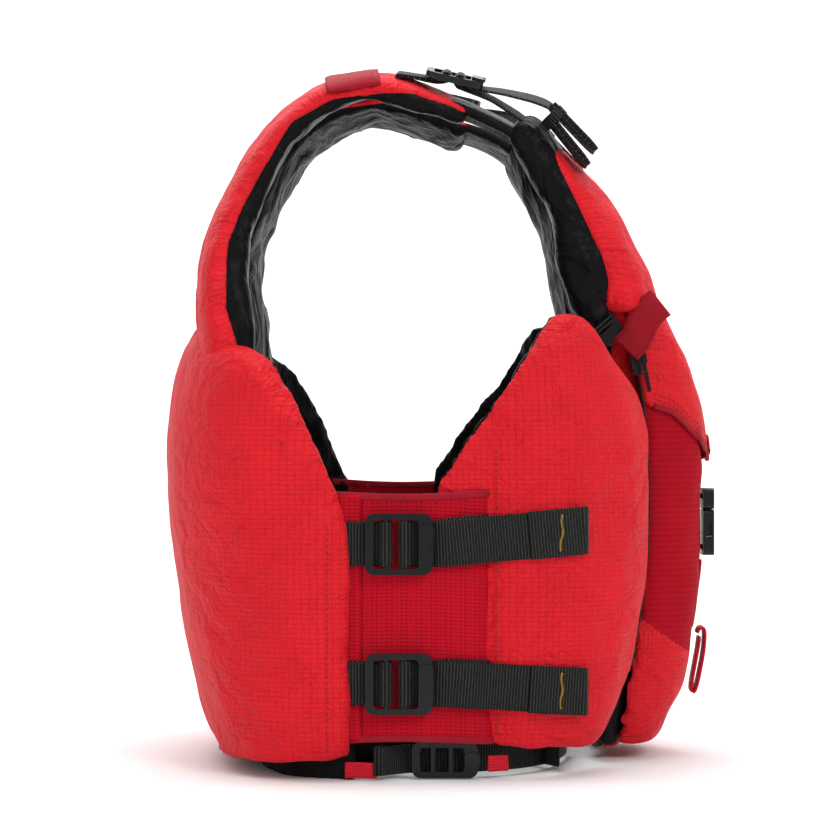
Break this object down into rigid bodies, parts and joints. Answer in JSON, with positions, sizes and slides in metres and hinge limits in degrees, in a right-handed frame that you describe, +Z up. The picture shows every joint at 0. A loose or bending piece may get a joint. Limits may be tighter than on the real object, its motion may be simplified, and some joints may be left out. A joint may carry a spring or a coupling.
{
  "type": "life jacket",
  "caption": "Paddling life jacket with foam back, chest and wing panels, side zipper, chest pocket and adjustable straps.",
  "frame": {"origin": "centre of the bounding box, on the plane the waist belt stands on", "axes": "+Z up along the wearer, -Y forward, +X towards the wearer's left"},
  "size_m": [0.3862, 0.4098, 0.5044],
  "materials": {
    "ripstop": "satin",
    "mesh_fabric": "matte",
    "lining": "satin",
    "foam": "matte",
    "black_webbing": "matte",
    "belt_mesh": "matte",
    "red_webbing": "matte",
    "red_twill": "matte",
    "zipper_tape": "matte",
    "black_plastic": "satin",
    "reflective": "satin",
    "thread": "satin"
  },
  "bodies": {
    "jacket": {"back_shell": "ripstop", "yoke_shell": "ripstop", "shoulder_shell_right": "ripstop", "shoulder_shell_left": "ripstop", "front_strap_shell_right": "ripstop", "front_strap_shell_left": "ripstop", "chest_shell": "ripstop", "wing_shell_left": "ripstop", "pocket_flap": "ripstop", "side_mesh_right": "mesh_fabric", "side_mesh_left": "mesh_fabric", "pocket_pouch": "mesh_fabric", "back_liner": "lining", "yoke_liner": "lining", "chest_liner": "lining", "wing_liner_left": "lining", "back_foam": "foam", "yoke_foam": "foam", "chest_foam": "foam", "wing_foam_left": "foam", "shoulder_foam_right": "foam", "shoulder_foam_left": "foam", "front_strap_foam_right": "foam", "front_strap_foam_left": "foam", "side_anchor_webbing": "black_webbing", "side_tails_left": "black_webbing", "shoulder_webbing": "black_webbing", "waist_webbing": "black_webbing", "waist_belt": "belt_mesh", "pocket_webbing": "red_webbing", "corner_tabs": "red_webbing", "lash_sleeves": "red_twill", "zipper_tape_chest": "zipper_tape", "pocket_clip": "black_plastic", "waist_lock": "black_plastic", "waist_socket": "black_plastic", "zipper_teeth_chest": "black_plastic", "zipper_box": "black_plastic"},
    "right_wing": {"wing_liner_right": "lining", "wing_foam_right": "foam", "wing_shell_right": "ripstop", "wing_mesh_right": "mesh_fabric", "side_tails_right": "black_webbing", "zipper_tape_wing": "zipper_tape", "zipper_teeth_wing": "black_plastic"},
    "zipper_slider": {"zipper_slider": "black_plastic"},
    "zipper_pull": {"zipper_pull": "black_plastic"},
    "side_lock_upper_right": {"side_lock_upper_right": "black_plastic"},
    "side_lock_upper_left": {"side_lock_upper_left": "black_plastic"},
    "side_lock_lower_right": {"side_lock_lower_right": "black_plastic"},
    "side_lock_lower_left": {"side_lock_lower_left": "black_plastic"},
    "shoulder_lock_right": {"shoulder_lock_right": "black_plastic"},
    "shoulder_lock_left": {"shoulder_lock_left": "black_plastic"},
    "shoulder_tail_right": {"shoulder_tail_right": "black_webbing"},
    "shoulder_tail_left": {"shoulder_tail_left": "black_webbing"},
    "pocket_socket": {"pocket_socket": "black_plastic"},
    "pocket_tail": {"pocket_tail": "red_webbing"},
    "chest_buckle": {"chest_buckle": "black_plastic"},
    "chest_tab": {"chest_tab": "red_twill"},
    "waist_clip": {"waist_clip": "black_plastic"}
  },
  "joints": [
    {"name": "wing_open", "type": "hinge", "parent": "jacket", "child": "right_wing", "pos_m": [-0.194, 0.003, 0.12], "axis": [0, 0, -1], "range_deg": [0, 80]},
    {"name": "zipper_run", "type": "hinge", "parent": "jacket", "child": "zipper_slider", "pos_m": [-0.078, 0.369, 0.19], "axis": [1, 0, 0], "range_deg": [0, 20.6]},
    {"name": "zipper_pull_lift", "type": "hinge", "parent": "zipper_slider", "child": "zipper_pull", "pos_m": [-0.078, -0.1472, 0.29316], "axis": [-1, 0, 0], "range_deg": [0, 110]},
    {"name": "side_lock_upper_right_tilt", "type": "hinge", "parent": "jacket", "child": "side_lock_upper_right", "pos_m": [-0.1867, 0.0375, 0.163], "axis": [0, 0, -1], "range_deg": [0, 12]},
    {"name": "side_lock_lower_right_tilt", "type": "hinge", "parent": "jacket", "child": "side_lock_lower_right", "pos_m": [-0.1867, 0.0375, 0.067], "axis": [0, 0, -1], "range_deg": [0, 12]},
    {"name": "shoulder_lock_right_tilt", "type": "hinge", "parent": "jacket", "child": "shoulder_lock_right", "pos_m": [-0.0895, -0.00468, 0.4956], "axis": [-0.9796, 0.0456, -0.1959], "range_deg": [0, 12]},
    {"name": "shoulder_tail_right_lift", "type": "hinge", "parent": "jacket", "child": "shoulder_tail_right", "pos_m": [-0.088, -0.079, 0.475], "axis": [-1, 0, 0], "range_deg": [0, 60]},
    {"name": "side_lock_upper_left_tilt", "type": "hinge", "parent": "jacket", "child": "side_lock_upper_left", "pos_m": [0.1867, 0.0375, 0.163], "axis": [0, 0, 1], "range_deg": [0, 12]},
    {"name": "side_lock_lower_left_tilt", "type": "hinge", "parent": "jacket", "child": "side_lock_lower_left", "pos_m": [0.1867, 0.0375, 0.067], "axis": [0, 0, 1], "range_deg": [0, 12]},
    {"name": "shoulder_lock_left_tilt", "type": "hinge", "parent": "jacket", "child": "shoulder_lock_left", "pos_m": [0.0895, -0.00468, 0.4956], "axis": [-0.9796, -0.0456, 0.1959], "range_deg": [0, 12]},
    {"name": "shoulder_tail_left_lift", "type": "hinge", "parent": "jacket", "child": "shoulder_tail_left", "pos_m": [0.088, -0.079, 0.475], "axis": [-1, 0, 0], "range_deg": [0, 60]},
    {"name": "pocket_buckle_release", "type": "slide", "parent": "jacket", "child": "pocket_socket", "axis": [0, 0, -1], "range_m": [0, 0.026]},
    {"name": "pocket_tail_lift", "type": "hinge", "parent": "jacket", "child": "pocket_tail", "pos_m": [0, -0.197, 0.093], "axis": [-1, 0, 0], "range_deg": [0, 70]},
    {"name": "chest_buckle_tilt", "type": "hinge", "parent": "jacket", "child": "chest_buckle", "pos_m": [-0.0825, -0.11458, 0.31611], "axis": [0, -0.7507, 0.6606], "range_deg": [0, 12]},
    {"name": "chest_tab_lift", "type": "hinge", "parent": "jacket", "child": "chest_tab", "pos_m": [-0.0863, -0.1375, 0.295], "axis": [0, -0.8222, -0.5692], "range_deg": [0, 45]},
    {"name": "waist_buckle_release", "type": "slide", "parent": "jacket", "child": "waist_clip", "axis": [-1, 0, 0], "range_m": [0, 0.024]}
  ]
}
